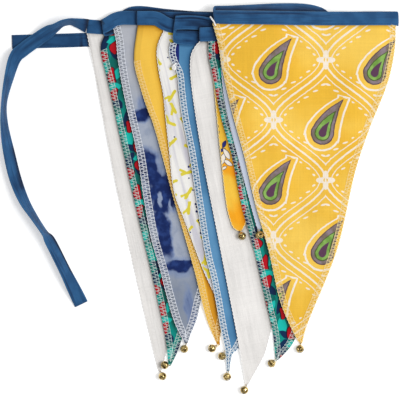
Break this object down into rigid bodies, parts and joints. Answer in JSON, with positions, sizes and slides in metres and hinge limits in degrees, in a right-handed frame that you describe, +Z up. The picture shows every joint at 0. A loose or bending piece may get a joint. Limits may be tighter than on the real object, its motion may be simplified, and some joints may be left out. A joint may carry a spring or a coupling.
{
  "type": "fabric bunting",
  "caption": "Folded bunting of triangular cloth flags on one continuous binding tape with two free ties, a small round bell at each flag's tip.",
  "frame": {"origin": "middle of the laid-out bunting's box, on the surface it rests on", "axes": "+Z up, +Y towards the binding tape, +X to the right as seen from above"},
  "size_m": [0.3582, 0.3489, 0.0213],
  "materials": {
    "tape": "matt woven cotton tape",
    "white_linen": "matt slub weave",
    "teal_print": "matt printed cotton",
    "indigo_dyed": "matt dyed cotton",
    "mustard_plain": "matt plain cotton",
    "lime_print": "matt printed cotton",
    "sky_plain": "matt plain cotton",
    "lilac_plain": "matt plain cotton",
    "yellow_print": "matt printed cotton",
    "bell_brass": "darkened brass"
  },
  "bodies": {
    "root": {"binding": "tape", "tie_back": "tape", "tie_front": "tape", "flag_a_white": "white_linen", "flag_b_teal": "teal_print", "flag_c_indigo": "indigo_dyed", "flag_d_mustard": "mustard_plain", "flag_e_lime": "lime_print", "flag_g_sky": "sky_plain", "flag_h_white": "white_linen", "flag_i_small_yellow": "yellow_print", "flag_j_teal": "teal_print", "flag_k_small_lilac": "lilac_plain", "flag_l_yellow": "yellow_print", "bell_a": "bell_brass", "bell_b": "bell_brass", "bell_c": "bell_brass", "bell_d": "bell_brass", "bell_e": "bell_brass", "bell_g": "bell_brass", "bell_h": "bell_brass", "bell_i": "bell_brass", "bell_j": "bell_brass", "bell_k": "bell_brass", "bell_l": "bell_brass"}
  },
  "joints": []
}
